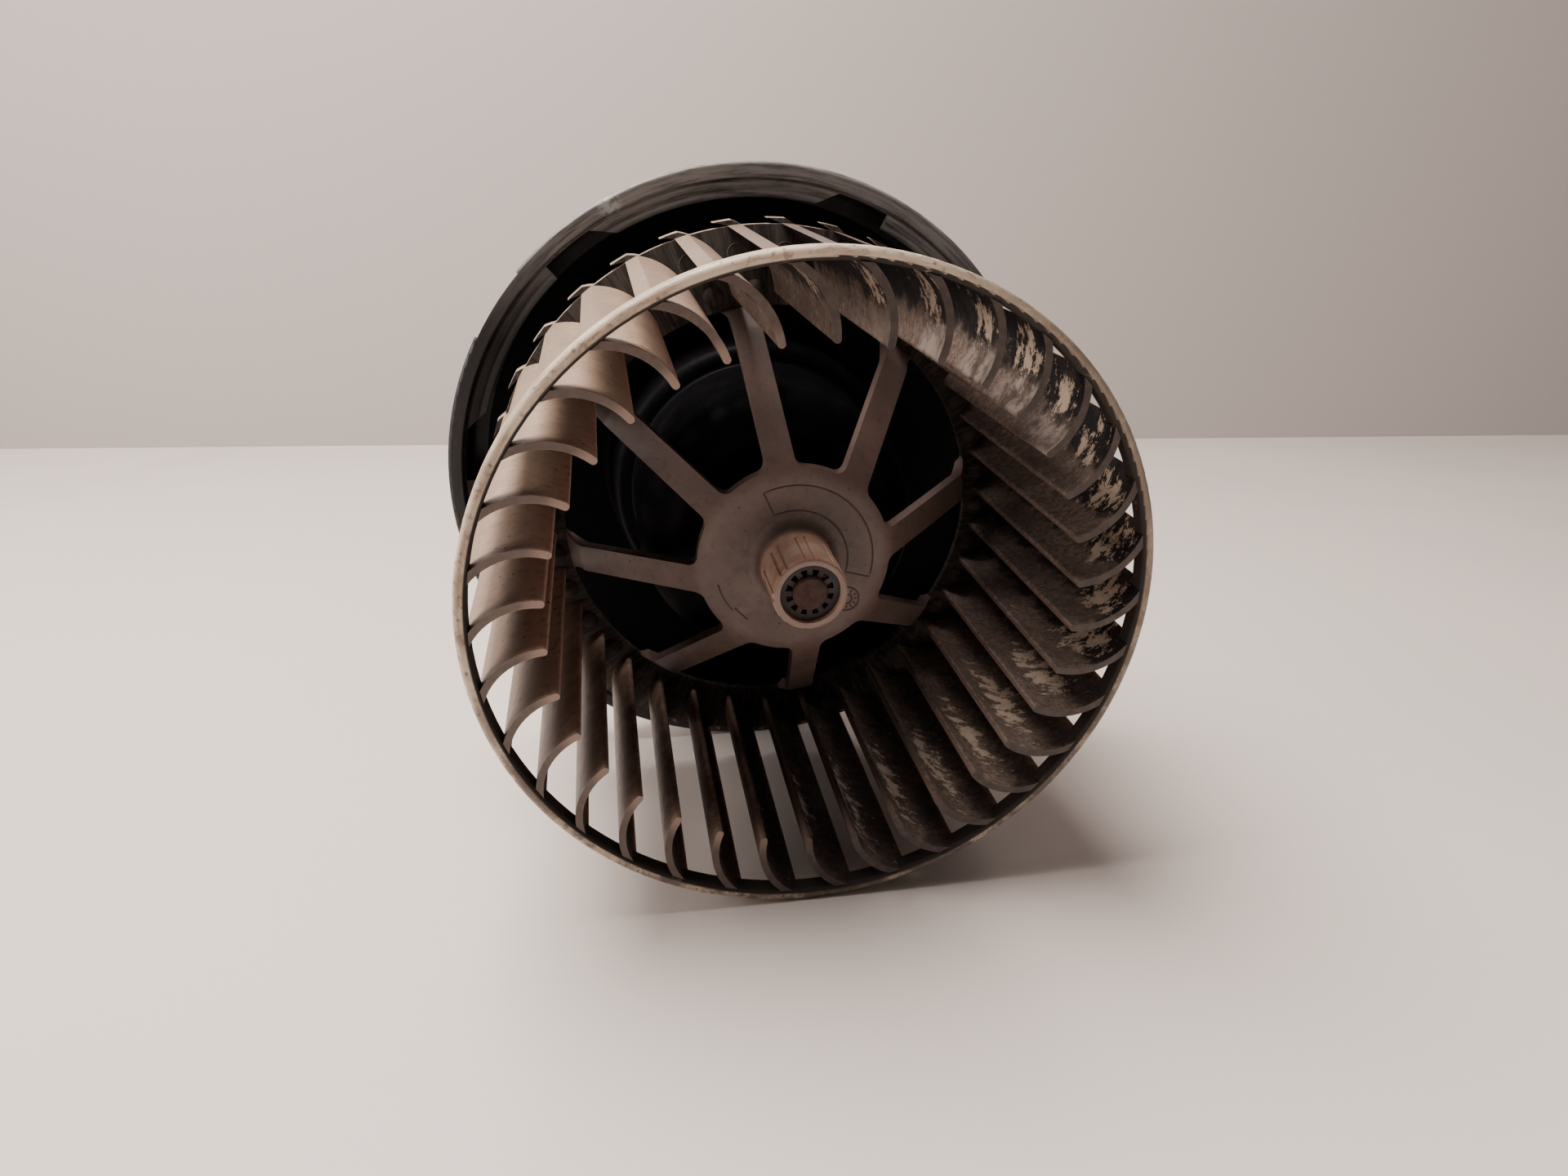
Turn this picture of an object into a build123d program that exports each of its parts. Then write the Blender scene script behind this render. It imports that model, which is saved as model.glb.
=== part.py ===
"""Heater blower: squirrel-cage wheel on a permanent-magnet motor in a round flanged holder.

Millimetres.  The pieces are drawn about the shaft with Z running rearwards, from the air inlet
to the motor, and are turned at the end so that the shaft lies along +Y and +Z is up.
The origin is on the shaft, in the middle plane of the holder's rim.
"""
import os
from math import cos, hypot, radians, sin

from build123d import *

# Wheel: front ring, blades, rear plate, spokes and hub
WHEEL_FRONT = -98.5          # station of the front ring's front face
RING_OUTER_R = 75.0
RING_INNER_R = 72.3
RING_DEPTH = 4.6
BLADE_COUNT = 34
BLADE_INNER_R = 58.0
BLADE_OUTER_R = 73.2
BLADE_ARC_R = 15.5           # forward-curved arc, radial at its inner end
BLADE_THICKNESS = 1.6
BLADE_FIRST_ANGLE = -151.4
PLATE_HOLE_R = 54.6
PLATE_OUTER_R = 73.0
PLATE_HOLE_STATION = WHEEL_FRONT + 67.5   # the rear plate is a shallow cone between these stations
PLATE_EDGE_STATION = WHEEL_FRONT + 76.0
PLATE_THICKNESS = 2.0
BLADE_TAIL = 1.8             # blade ends stand this far behind the plate
TAIL_R = 74.4                # and stand out past its rim
EJECTOR_DOME_R = 2.6
HUB_FRONT = WHEEL_FRONT + 31.5
HUB_R = 23.4
SPOKE_COUNT = 8
SPOKE_FIRST_ANGLE = 37.4
SPOKE_WIDTH = 7.0
SPOKE_THICKNESS = 2.6
SPOKE_ELBOW_R = 51.2         # the spokes slope at 45 degrees out to this elbow
HUB_BEND_R = 8.0             # outer radii of the two bends along a spoke
ELBOW_BEND_R = 4.0
SPOKE_ROOT_R = 27.5          # the spokes join the hub disc here, clear of its filleted corners
BOSS_R = 8.6
BOSS_BORE_R = 7.0
BOSS_END = WHEEL_FRONT + 12.0
BOSS_RECESS = 9.0
HUB_SLEEVE_END = -56.0

# Shaft and armature
SHAFT_R = 4.0
SHAFT_REAR = 41.0
CORE_R = 24.6
CORE_FRONT, CORE_REAR = -32.0, -2.0
SLOT_COUNT = 12
WINDING_R = 21.5
WINDING_FRONT, WINDING_REAR = -41.5, 8.5
COMMUTATOR_R = 11.0
COMMUTATOR_SLEEVE_R = 8.0
COMMUTATOR_END = 24.0

# Motor can, bearings and brush gear
CAN_R = 31.0
CAN_WALL = 1.6
CAN_FRONT, CAN_REAR = -46.0, 34.0
CAN_INNER_R = CAN_R - CAN_WALL
NOSE_R = 9.6
NOSE_LENGTH = 6.0
BUSH_R = 8.0
BUSH_BORE_R = SHAFT_R + 0.03
BUSH_LENGTH = 5.6
FRONT_BUSH_START = CAN_FRONT - NOSE_LENGTH + 1.4
REAR_BUSH_START = CAN_REAR - CAN_WALL + 0.8
MAGNET_INNER_R = 25.4
MAGNET_SPAN = 130.0
BRUSH_PLATE_FRONT = 22.0
BRUSH_PLATE_THICKNESS = 2.0
BRUSH_STATION = 17.0
BRUSH_WIDTH, BRUSH_DEPTH = 6.0, 8.0
BRUSH_FACE_R = COMMUTATOR_R + 0.3
BRUSH_BACK_R = 22.3
BRUSH_BOX_INNER_R, BRUSH_BOX_OUTER_R = 13.0, 28.4
BRUSH_BOX_WALL = 0.8

# Holder: flange rim, dished floor and the bell round the motor
RIM_R = 87.1
RIM_HALF = 2.2
RIM_INNER_R = 83.2
LIP_R = 78.2                 # inner edge of the notched locking lip
WALL_OUTER_R, WALL_INNER_R = 85.0, 82.4
WALL = 2.5
FLOOR_FRONT = 13.0
WELL_R = 41.5
SHOULDER_STATION = -11.0
BELL_R = 36.0
BELL_FRONT = -49.5
BELL_MOUTH_R = 12.0
WELL_REAR = 38.0
RIB_COUNT = 12
SCREW_CIRCLE_R = 46.0
SCREW_ANGLES = (30.0, 150.0, 270.0)
SCREW_PILOT_R = 1.6
SYMMETRY_ANGLE = -97.2       # the locking notches are mirrored about this angle
NOTCH_CENTRES = (29.5, 75.0, 128.0)
NOTCH_HALF = 5.2
NOTCH_RAMP = 5.5
FLOOR_INNER_R = WELL_R + 3.5  # the plain floor lies between the well's foot and the rim's wall
FLOOR_OUTER_R = 77.5
BELL_SPLIT = -4.0            # the bell and the well meet here, on the plain wall

# Rear cover and socket
COVER_THICKNESS = 2.5
COVER_REAR = WELL_REAR + COVER_THICKNESS
DOME_R = 13.6
DOME_END = 46.5
SOCKET_Y = -22.0
SOCKET_WIDTH, SOCKET_HEIGHT = 24.0, 14.0
SOCKET_WALL = 1.8
SOCKET_END = 59.0
BLADE_TERMINAL_WIDTH, BLADE_TERMINAL_THICKNESS = 6.3, 0.8
TERMINAL_X = 5.0

TO_ROW = Rot(-90, 0, 0)


def tube(inner_r, outer_r, start, end):
    """Plain ring or disc about the shaft between two stations."""
    section = Circle(outer_r)
    if inner_r > 0:
        section = section - Circle(inner_r)
    return Pos(0, 0, start) * extrude(section, end - start)


def lathe(outline, rounds=None):
    """Revolve (radius, station) corners about the shaft; rounds maps corner number to fillet radius."""
    face = make_face(Polyline([(r, 0, z) for r, z in outline], close=True)).face()
    for corner, radius in (rounds or {}).items():
        r, z = outline[corner]
        vertex = face.vertices().sort_by_distance((r, 0, z))[0]
        face = face.fillet_2d(radius, [vertex])
    return revolve(face, Axis.Z)


def polar(radius, angle):
    return (radius * cos(radians(angle)), radius * sin(radians(angle)))


def sector(inner_r, outer_r, middle, half, start, end):
    """Part of a ring, spanning half degrees each side of a middle angle."""
    lines = [
        ThreePointArc(polar(outer_r, middle - half), polar(outer_r, middle), polar(outer_r, middle + half)),
        Line(polar(outer_r, middle + half), polar(inner_r, middle + half)),
        ThreePointArc(polar(inner_r, middle + half), polar(inner_r, middle), polar(inner_r, middle - half)),
        Line(polar(inner_r, middle - half), polar(outer_r, middle - half)),
    ]
    return Pos(0, 0, start) * extrude(make_face(lines), end - start)


def block(size_x, size_y, start, end, x=0.0, y=0.0):
    """Box centred on (x, y) between two stations."""
    return Pos(x, y, start) * extrude(Rectangle(size_x, size_y), end - start)


def around(shape, count, first=0.0):
    """Copies of a shape, evenly spaced about the shaft."""
    return [Rot(0, 0, first + 360.0 * i / count) * shape for i in range(count)]


def group(shapes):
    """Separate solids kept together as one node."""
    return Compound([solid for shape in shapes for solid in shape.solids()])


def thick_band(path, thickness):
    """Closed outline of a band drawn on one side of a (radius, station) path, with mitred corners."""
    normals = []
    for (r0, z0), (r1, z1) in zip(path, path[1:]):
        length = hypot(r1 - r0, z1 - z0)
        normals.append((-(z1 - z0) / length, (r1 - r0) / length))
    normals = [normals[0]] + normals + [normals[-1]]
    back = []
    for (r, z), (ar, az), (br, bz) in zip(path, normals, normals[1:]):
        scale = thickness / (1 + ar * br + az * bz)
        back.append((r + (ar + br) * scale, z + (az + bz) * scale))
    return path + back[::-1]


# ---------------------------------------------------------------- wheel and what turns with it

def blade_section(outer_r):
    """Forward-curved band out to a radius, radial and rounded at its inner end."""
    half = BLADE_THICKNESS / 2
    arc_centre = Pos(BLADE_INNER_R, -BLADE_ARC_R)
    reach = BLADE_ARC_R + 4
    quarter = Pos(BLADE_INNER_R + reach / 2, -BLADE_ARC_R + reach / 2) * Rectangle(reach, reach)
    section = arc_centre * (Circle(BLADE_ARC_R + half) - Circle(BLADE_ARC_R - half)) & quarter
    section = section + Pos(BLADE_INNER_R, 0) * Circle(half)
    return section & Circle(outer_r)


def wheel_front_ring():
    rear = WHEEL_FRONT + RING_DEPTH
    inner, outer = RING_INNER_R, RING_OUTER_R
    outline = [(inner, WHEEL_FRONT), (outer, WHEEL_FRONT), (outer, rear), (inner, rear)]
    return lathe(outline, {0: 1.0, 1: 1.2, 2: 1.0, 3: 0.3})


def plate_station(radius):
    """Station of the conical rear plate's front face."""
    slope = (PLATE_EDGE_STATION - PLATE_HOLE_STATION) / (PLATE_OUTER_R - PLATE_HOLE_R)
    return PLATE_HOLE_STATION + slope * (radius - PLATE_HOLE_R)


def cone_layer(inner_r, outer_r, thickness):
    """Conical ring lying on the rear plate's front face."""
    inner, outer = plate_station(inner_r), plate_station(outer_r)
    front = [(inner_r, inner), (outer_r, outer)]
    return lathe(front + [(outer_r, outer + thickness), (inner_r, inner + thickness)])


def wheel_blades():
    """Blades from inside the front ring to the rear plate, notched to fit round the ring."""
    start = WHEEL_FRONT + 0.4
    blade = Pos(0, 0, start) * extrude(blade_section(BLADE_OUTER_R), PLATE_EDGE_STATION + 1 - start)
    blade = blade - tube(RING_INNER_R, RING_OUTER_R + 1, WHEEL_FRONT, WHEEL_FRONT + RING_DEPTH)
    blade = blade - cone_layer(PLATE_HOLE_R, PLATE_OUTER_R + 1, 12)
    return group(around(blade, BLADE_COUNT, BLADE_FIRST_ANGLE))


def wheel_rear_plate():
    """Conical plate with the blades' tails standing through it and a dome between each pair."""
    plate = cone_layer(PLATE_HOLE_R, PLATE_OUTER_R, PLATE_THICKNESS)
    column = Pos(0, 0, PLATE_HOLE_STATION) * extrude(blade_section(TAIL_R), 16)
    tail = column & cone_layer(PLATE_HOLE_R, TAIL_R + 1, PLATE_THICKNESS + BLADE_TAIL)
    dome_r = PLATE_HOLE_R + 3.4
    dome = Pos(dome_r, 0, plate_station(dome_r) + 0.5) * Sphere(EJECTOR_DOME_R)
    dome = dome - cone_layer(PLATE_HOLE_R - 1, PLATE_OUTER_R, 6).moved(Pos(0, 0, PLATE_THICKNESS / 2))
    half_pitch = 180.0 / BLADE_COUNT
    extras = around(tail, BLADE_COUNT, BLADE_FIRST_ANGLE)
    extras += around(dome, BLADE_COUNT, BLADE_FIRST_ANGLE + half_pitch)
    return plate.fuse(*extras)


def spider():
    """Hub disc and spokes: a bell-shaped shell trimmed to a star with filleted corners."""
    elbow_station = HUB_FRONT + SPOKE_ELBOW_R - HUB_R
    end = PLATE_HOLE_STATION + PLATE_THICKNESS
    path = [(SHAFT_R + 1.0, HUB_FRONT), (HUB_R, HUB_FRONT), (SPOKE_ELBOW_R, elbow_station)]
    path.append((PLATE_HOLE_R + 1.2, end))
    bends = {1: HUB_BEND_R, 2: ELBOW_BEND_R}
    bends.update({5: ELBOW_BEND_R - SPOKE_THICKNESS, 6: HUB_BEND_R - SPOKE_THICKNESS})
    shell = lathe(thick_band(path, SPOKE_THICKNESS), bends)
    band_r = PLATE_HOLE_R + 0.4
    arm_length = PLATE_HOLE_R + 1.0
    arm = Pos(arm_length / 2, 0) * Rectangle(arm_length, SPOKE_WIDTH)
    star = Circle(HUB_R) + (Circle(band_r + 3) - Circle(band_r))
    for copy in around(arm, SPOKE_COUNT, SPOKE_FIRST_ANGLE):
        star = star + copy
    for corner_r, radius in ((HUB_R, 2.6), (band_r, 3.0)):
        star = fillet([v for v in star.vertices() if abs(hypot(v.X, v.Y) - corner_r) < 0.3], radius)
    star = star & Circle(PLATE_HOLE_R)
    start = HUB_FRONT - 1
    prism = Pos(0, 0, start) * extrude(star, end - start)
    return (shell & prism) - cone_layer(PLATE_HOLE_R, PLATE_OUTER_R, PLATE_THICKNESS + 2)


def wheel_spokes():
    return group([spider() - tube(0, SPOKE_ROOT_R, HUB_FRONT - 2, PLATE_HOLE_STATION)])


def boss_and_sleeve():
    """Fluted boss in front of the hub disc and plain sleeve behind it, bored for the shaft."""
    outline = [
        (SHAFT_R, HUB_SLEEVE_END), (SHAFT_R, BOSS_END + BOSS_RECESS), (BOSS_BORE_R, BOSS_END + BOSS_RECESS),
        (BOSS_BORE_R, BOSS_END), (BOSS_R, BOSS_END), (BOSS_R, HUB_FRONT), (BOSS_R + 5, HUB_FRONT),
        (BOSS_R + 5, HUB_FRONT + SPOKE_THICKNESS), (BOSS_R + 0.8, HUB_FRONT + SPOKE_THICKNESS),
        (BOSS_R + 0.8, HUB_SLEEVE_END),
    ]
    shape = lathe(outline, {4: 0.8, 5: 3.0, 9: 0.6})
    flute = Pos(BOSS_R + 0.15, 0, BOSS_END - 1) * extrude(Circle(0.45), HUB_FRONT - 5 - BOSS_END)
    for pair_offset in (-7.0, 7.0):
        shape = shape - around(flute, SPOKE_COUNT, pair_offset)
    return shape


def wheel_hub():
    disc = spider() & tube(SHAFT_R + 1.5, SPOKE_ROOT_R, HUB_FRONT - 2, PLATE_HOLE_STATION)
    return disc.fuse(boss_and_sleeve())


def hub_lock_ring():
    """Toothed push-on ring that grips the shaft inside the boss."""
    start = BOSS_END + 1.4
    section = Circle(BOSS_BORE_R) - Circle(5.5)
    tooth = Pos(4.8, 0) * Rectangle(2.4, 1.25)
    for copy in around(tooth, 12):
        section = section + copy
    section = section - Circle(SHAFT_R)
    return Pos(0, 0, start) * extrude(section, 1.0)


def motor_shaft():
    shape = tube(0, SHAFT_R, BOSS_END + 0.3, SHAFT_REAR)
    return chamfer(shape.edges(), 0.4)


def slot_section(inner_r, outer_r, width):
    return Pos((inner_r + outer_r) / 2, 0) * Rectangle(outer_r - inner_r, width)


def armature_core():
    """Stack of slotted laminations."""
    section = Circle(CORE_R) - Circle(SHAFT_R)
    for copy in around(slot_section(13.5, 22.8, 5.0), SLOT_COUNT):
        section = section - copy
    for copy in around(slot_section(20.0, CORE_R + 1, 2.0), SLOT_COUNT):
        section = section - copy
    return Pos(0, 0, CORE_FRONT) * extrude(section, CORE_REAR - CORE_FRONT)


def armature_windings():
    """End turns at both ends of the core, joined by the coil sides that lie in its slots."""
    inner_r = 9.0
    front = lathe([(inner_r, WINDING_FRONT), (WINDING_R, WINDING_FRONT), (WINDING_R, CORE_FRONT),
                   (inner_r, CORE_FRONT)], {0: 2.5, 1: 4.0})
    rear = lathe([(inner_r, CORE_REAR), (WINDING_R, CORE_REAR), (WINDING_R, WINDING_REAR),
                  (inner_r, WINDING_REAR)], {2: 5.0, 3: 1.0})
    side = Pos(0, 0, CORE_FRONT - 1) * extrude(slot_section(14.0, 21.3, 4.4), CORE_REAR - CORE_FRONT + 2)
    return front.fuse(rear, *around(side, SLOT_COUNT))


def commutator_core():
    return tube(SHAFT_R, COMMUTATOR_SLEEVE_R, WINDING_REAR, COMMUTATOR_END + 0.8)


def commutator_bars():
    """Copper bars with a riser at the winding end."""
    half = 180.0 / SLOT_COUNT - 1.6
    bar = sector(COMMUTATOR_SLEEVE_R, COMMUTATOR_R, 0, half, WINDING_REAR, COMMUTATOR_END)
    bar = bar + sector(COMMUTATOR_R - 0.5, COMMUTATOR_R + 1.4, 0, half / 2, WINDING_REAR, WINDING_REAR + 1.8)
    return group(around(bar, SLOT_COUNT))


def thrust_washers():
    front_start = CAN_FRONT + CAN_WALL + 0.8
    rear_start = COMMUTATOR_END + 0.8
    front = tube(SHAFT_R, 6.8, front_start, front_start + 1.2)
    rear = tube(SHAFT_R, 6.8, rear_start, rear_start + 6.0)
    return group([front, rear])


# ---------------------------------------------------------------- motor, seen from outside inwards

def motor_can():
    """Deep-drawn steel cup with a bearing nose at its closed front end."""
    nose_front = CAN_FRONT - NOSE_LENGTH
    inner_front = CAN_FRONT + CAN_WALL
    outline = [
        (5.2, nose_front), (NOSE_R, nose_front), (NOSE_R, CAN_FRONT), (CAN_R, CAN_FRONT), (CAN_R, CAN_REAR),
        (CAN_INNER_R, CAN_REAR), (CAN_INNER_R, inner_front), (BUSH_R, inner_front),
        (BUSH_R, nose_front + 1.4), (5.2, nose_front + 1.4),
    ]
    return lathe(outline, {1: 1.4, 2: 1.2, 3: 4.0, 6: 2.4})


def end_bell():
    """Pressed end plate with the rear bearing's pocket and a slot for the terminals."""
    start = CAN_REAR - CAN_WALL
    pocket_end = start + 0.8 + BUSH_LENGTH + 1.4
    outline = [
        (BUSH_R, start), (CAN_INNER_R, start), (CAN_INNER_R, CAN_REAR), (NOSE_R, CAN_REAR),
        (NOSE_R, pocket_end), (5.2, pocket_end), (5.2, pocket_end - 1.4), (BUSH_R, pocket_end - 1.4),
    ]
    slot = block(16.0, 9.0, start - 1, CAN_REAR + 1, 0, SOCKET_Y)
    return lathe(outline, {3: 0.8, 4: 1.2}) - slot


def bearing(start):
    end = start + BUSH_LENGTH
    outline = [(BUSH_BORE_R, start), (BUSH_R, start), (BUSH_R, end), (BUSH_BORE_R, end)]
    return lathe(outline, {1: 0.9, 2: 0.9})


def oil_felts():
    """Oil-soaked felt washers lying against the inner end of each bush."""
    front_start = FRONT_BUSH_START + BUSH_LENGTH
    front = tube(4.8, BUSH_R, front_start, CAN_FRONT + CAN_WALL)
    rear = tube(4.8, BUSH_R, CAN_REAR - CAN_WALL, REAR_BUSH_START)
    return group([front, rear])


def bearing_clips():
    """Pressed star washers that hold each bush and felt in its pocket."""
    front = tube(5.6, 14.0, CAN_FRONT + CAN_WALL, CAN_FRONT + CAN_WALL + 0.5)
    rear = tube(5.6, 14.0, CAN_REAR - CAN_WALL - 0.5, CAN_REAR - CAN_WALL)
    relief = Pos(11.5, 0) * Rectangle(3.0, 1.6)
    for station in (CAN_FRONT, CAN_REAR - CAN_WALL - 1.5):
        cutter = Pos(0, 0, station) * extrude(relief, 4.0)
        for copy in around(cutter, 8):
            front = front - copy
            rear = rear - copy
    return group([front, rear])


def field_magnets():
    half = MAGNET_SPAN / 2
    arc = sector(MAGNET_INNER_R, CAN_INNER_R, 0, half, CORE_FRONT - 4, CORE_REAR + 4)
    return group(around(arc, 2))


def magnet_clips():
    """Spring strips that wedge the magnets apart, above and below the armature."""
    half = 90 - MAGNET_SPAN / 2
    clips = []
    for side in (90, 270):
        back = sector(CAN_INNER_R - 0.8, CAN_INNER_R, side, half, CORE_FRONT, CORE_REAR)
        for end in (-1, 1):
            middle = side + end * (half - 1)
            back = back + sector(MAGNET_INNER_R + 0.4, CAN_INNER_R - 0.5, middle, 1, CORE_FRONT, CORE_REAR)
        clips.append(back)
    return group(clips)


def brush_plate():
    """Insulating ring that carries the brush boxes, the chokes and the terminals."""
    end = BRUSH_PLATE_FRONT + BRUSH_PLATE_THICKNESS
    plate = tube(BRUSH_BOX_INNER_R - 0.2, CAN_INNER_R, BRUSH_PLATE_FRONT, end)
    notch = Pos(CAN_INNER_R, 0, BRUSH_PLATE_FRONT - 1) * extrude(Circle(2.2), BRUSH_PLATE_THICKNESS + 2)
    return plate - around(notch, 4, 45)


def brush_box():
    """Brass guide for one brush, open towards the commutator and closed behind the spring."""
    wall = BRUSH_BOX_WALL
    middle = (BRUSH_BOX_INNER_R + BRUSH_BOX_OUTER_R) / 2
    length = BRUSH_BOX_OUTER_R - BRUSH_BOX_INNER_R
    half_depth = BRUSH_PLATE_FRONT - BRUSH_STATION
    width = BRUSH_WIDTH + 0.4
    outer = block(width + 2 * wall, length, BRUSH_STATION - half_depth, BRUSH_PLATE_FRONT, 0, middle)
    hollow_half = BRUSH_DEPTH / 2 + 0.2
    hollow = block(width, length, BRUSH_STATION - hollow_half, BRUSH_STATION + hollow_half, 0,
                   middle - wall)
    return outer - hollow


def brush_boxes():
    return group(around(brush_box(), 2))


def carbon_brush():
    """Carbon block with a face hollowed to the commutator."""
    length = BRUSH_BACK_R - SHAFT_R
    body = block(BRUSH_WIDTH, length, BRUSH_STATION - BRUSH_DEPTH / 2, BRUSH_STATION + BRUSH_DEPTH / 2,
                 0, SHAFT_R + length / 2)
    return body - tube(0, BRUSH_FACE_R, BRUSH_STATION - 10, BRUSH_STATION + 10)


def brush_spring():
    """Compression coil between a brush's back and the closed end of its box."""
    wire_r = 0.3
    start = BRUSH_BACK_R + wire_r
    height = BRUSH_BOX_OUTER_R - BRUSH_BOX_WALL - wire_r - start
    helix = Helix(pitch=height / 4, height=height, radius=2.2)
    coil = sweep(Plane(helix @ 0, z_dir=helix % 0) * Circle(wire_r), helix)
    return Pos(0, start, BRUSH_STATION) * Rot(-90, 0, 0) * coil


def suppression_chokes():
    """Interference chokes standing on the brush plate, each with two stub leads."""
    base = BRUSH_PLATE_FRONT + BRUSH_PLATE_THICKNESS
    along_y = Rot(-90, 0, 0)
    wire = Circle(0.6)
    chokes = []
    for x in (-18.0, 18.0):
        body = Pos(x, -6, base + 4) * along_y * extrude(Circle(2.8), 12)
        for y in (-7.0, 7.0):
            upright = Pos(x, y, base) * extrude(wire, 4.6)
            shoulder = Pos(x, min(y, y * 0.7), base + 4) * along_y * extrude(wire, abs(y) * 0.3)
            body = body + upright + shoulder
        chokes.append(body)
    return group(chokes)


def terminal_blades():
    """Flat blades from the brush plate, through the end bell and the cover, into the socket."""
    base = BRUSH_PLATE_FRONT + BRUSH_PLATE_THICKNESS
    tip = SOCKET_END - 4.5
    blades = []
    for x in (-TERMINAL_X, TERMINAL_X):
        blade_solid = block(BLADE_TERMINAL_THICKNESS, BLADE_TERMINAL_WIDTH, base, tip, x, SOCKET_Y)
        foot = block(4.0, BLADE_TERMINAL_WIDTH, base, base + 0.8, x + 1.6 * (1 if x > 0 else -1), SOCKET_Y)
        blades.append(blade_solid + foot)
    return group(blades)


def isolators(inner_r, outer_r, start, end, half):
    """Three rubber pads that keep the motor off its holder."""
    pad = sector(inner_r, outer_r, 0, half, start, end)
    return group(around(pad, 3, 90))


# ---------------------------------------------------------------- holder and cover

def holder_body():
    """Rim, locking lip, dished floor, shoulder and bell as one solid of revolution."""
    well_inner = WELL_R - WALL
    bell_inner = BELL_R - WALL
    floor_rear = FLOOR_FRONT + WALL
    shoulder_inner = SHOULDER_STATION + WALL
    outline = [
        (BELL_MOUTH_R, BELL_FRONT), (BELL_R, BELL_FRONT), (BELL_R, SHOULDER_STATION),
        (WELL_R, SHOULDER_STATION), (WELL_R, FLOOR_FRONT), (WALL_INNER_R, FLOOR_FRONT),
        (WALL_INNER_R, 1.0), (LIP_R, 1.0), (LIP_R, -1.3), (LIP_R + 1.5, -1.3), (LIP_R + 2.2, -0.4),
        (RIM_INNER_R - 1.0, -0.9), (RIM_INNER_R - 0.3, -0.2), (RIM_INNER_R, -RIM_HALF),
        (RIM_R, -RIM_HALF), (RIM_R, RIM_HALF), (WALL_OUTER_R, RIM_HALF),
        (WALL_OUTER_R, floor_rear), (WELL_R, floor_rear), (WELL_R, WELL_REAR), (well_inner, WELL_REAR),
        (well_inner, shoulder_inner), (bell_inner, shoulder_inner), (bell_inner, BELL_FRONT + WALL),
        (BELL_MOUTH_R, BELL_FRONT + WALL),
    ]
    rounds = {1: 10.0, 2: 1.2, 3: 4.0, 4: 3.0, 5: 2.0, 13: 0.5, 14: 1.0, 15: 1.0, 17: 3.0, 18: 2.0,
              21: 1.5, 23: 7.5}
    return lathe(outline, rounds)


def lip_notch(side, centre):
    """Cutter for one locking notch: square at one end, ramped at the end nearer the symmetry angle."""
    outer_r = WALL_INNER_R
    inner_r = LIP_R - 1.0
    far = SYMMETRY_ANGLE + side * (centre + NOTCH_HALF)
    near = SYMMETRY_ANGLE + side * (centre - NOTCH_HALF)
    ramp = SYMMETRY_ANGLE + side * (centre - NOTCH_HALF - NOTCH_RAMP)
    middle = (far + near) / 2
    lines = [
        Line(polar(inner_r, far), polar(outer_r, far)),
        ThreePointArc(polar(outer_r, far), polar(outer_r, middle), polar(outer_r, near)),
        Line(polar(outer_r, near), polar(inner_r, ramp)),
        Line(polar(inner_r, ramp), polar(inner_r - 6, middle)),
        Line(polar(inner_r - 6, middle), polar(inner_r, far)),
    ]
    return Pos(0, 0, -3) * extrude(make_face(lines), 5)


def gusset():
    """Triangular stiffening rib behind the dished floor, before it is trimmed to the holder."""
    rear = FLOOR_FRONT + WALL
    corners = [(WELL_R - 1, rear - 1), (WELL_R - 1, WELL_REAR - 4), (WALL_OUTER_R - 4, rear + 2.5),
               (WALL_OUTER_R - 2, rear - 1)]
    face = make_face(Polyline([(r, 0, z) for r, z in corners], close=True))
    return extrude(face, 0.9, both=True)


def holder_rim():
    """Flange, notched lip and wall, down to the outer corner of the floor."""
    rim = holder_body() - tube(0, FLOOR_OUTER_R, BELL_FRONT - 1, WELL_REAR + 1)
    cutters = [lip_notch(side, centre) for side in (-1, 1) for centre in NOTCH_CENTRES]
    relief_middle = SYMMETRY_ANGLE - 46
    cutters.append(sector(RIM_R - 0.7, RIM_R + 2, relief_middle, 7.0, -RIM_HALF - 1, RIM_HALF + 1))
    return rim.cut(*cutters)


def holder_floor():
    return tube(FLOOR_INNER_R, FLOOR_OUTER_R, FLOOR_FRONT, FLOOR_FRONT + WALL)


def motor_bell():
    """Bell and shoulder round the front of the motor."""
    return holder_body() & tube(0, FLOOR_INNER_R, BELL_FRONT - 1, BELL_SPLIT)


def motor_well():
    """Well round the rear of the motor, with the inner edge of the floor."""
    return holder_body() & tube(0, FLOOR_INNER_R, BELL_SPLIT, WELL_REAR + 1)


def holder_ribs():
    """Ribs behind the floor; three of them carry a screw post with a pilot hole."""
    post = Pos(SCREW_CIRCLE_R, 0, FLOOR_FRONT + 1) * extrude(Circle(4.2), WELL_REAR - FLOOR_FRONT - 1)
    pilot = Pos(SCREW_CIRCLE_R, 0, WELL_REAR - 14) * extrude(Circle(SCREW_PILOT_R), 15)
    body = holder_body()
    plain = gusset() - body
    with_post = (gusset() + post) - pilot - body
    ribs = []
    for i in range(RIB_COUNT):
        angle = 360.0 * i / RIB_COUNT
        ribs.append(Rot(0, 0, angle) * (with_post if angle in SCREW_ANGLES else plain))
    return group(ribs)


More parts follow.
